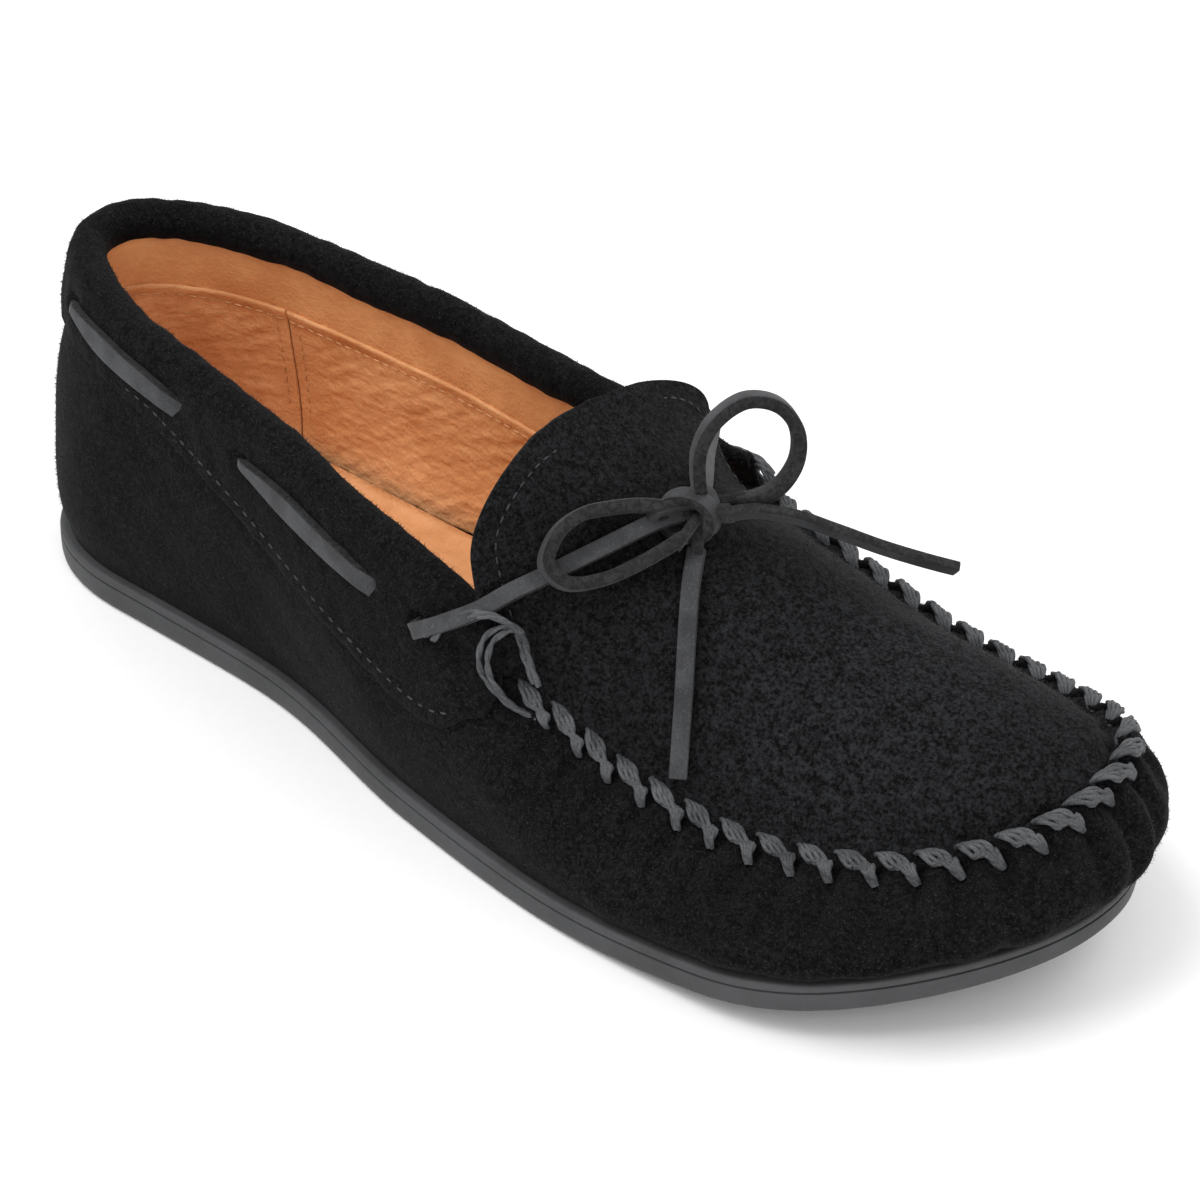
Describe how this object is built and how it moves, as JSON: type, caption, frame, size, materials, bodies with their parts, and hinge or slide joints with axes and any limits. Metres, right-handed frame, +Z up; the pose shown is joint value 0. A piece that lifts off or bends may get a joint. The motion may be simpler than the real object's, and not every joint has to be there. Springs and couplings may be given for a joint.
{
  "type": "moccasin",
  "caption": "Handsewn suede moccasin, right foot, with a padded laced collar, standing tongue, bow and rubber cup sole.",
  "frame": {"origin": "centre of the shoe's box in plan, without the bow's loops and tails, on the ground", "axes": "+X to the toe, +Y to the inner side of the foot, +Z up"},
  "size_m": [0.294, 0.1056, 0.0997],
  "materials": {
    "black_suede": "napped suede",
    "tan_leather": "soft matt lining leather",
    "rubber": "moulded matt rubber",
    "thong_leather": "split thong, matt",
    "waxed_thread": "waxed plied thread",
    "foam": "open foam",
    "board": "fibre board",
    "lining_cloth": "woven backing cloth"
  },
  "bodies": {
    "shoe": {"outsole": "rubber", "midsole_foam": "foam", "insole_board": "board", "sock_cushion": "foam", "sock_liner": "tan_leather", "vamp": "black_suede", "heel_counter": "board", "heel_lining": "tan_leather", "quarter_lining_outer": "tan_leather", "quarter_lining_inner": "tan_leather", "vamp_lining": "lining_cloth", "collar_lining": "tan_leather", "collar_foam": "foam", "collar_cuff": "black_suede", "plug": "black_suede", "plug_lining": "lining_cloth", "seam_thread": "waxed_thread", "lace": "thong_leather", "bow_knot": "thong_leather", "bow_loop_left": "thong_leather", "bow_loop_right": "thong_leather", "lace_tail_side": "thong_leather", "lace_tail_front": "thong_leather"},
    "tongue": {"tongue": "black_suede", "tongue_lining": "black_suede"}
  },
  "joints": [
    {"name": "tongue_bend", "type": "hinge", "parent": "shoe", "child": "tongue", "pos_m": [0.022, 0, 0.07], "axis": [0, 1, 0], "range_deg": [-24, 10], "stiffness_Nm_per_rad": 0.05}
  ]
}
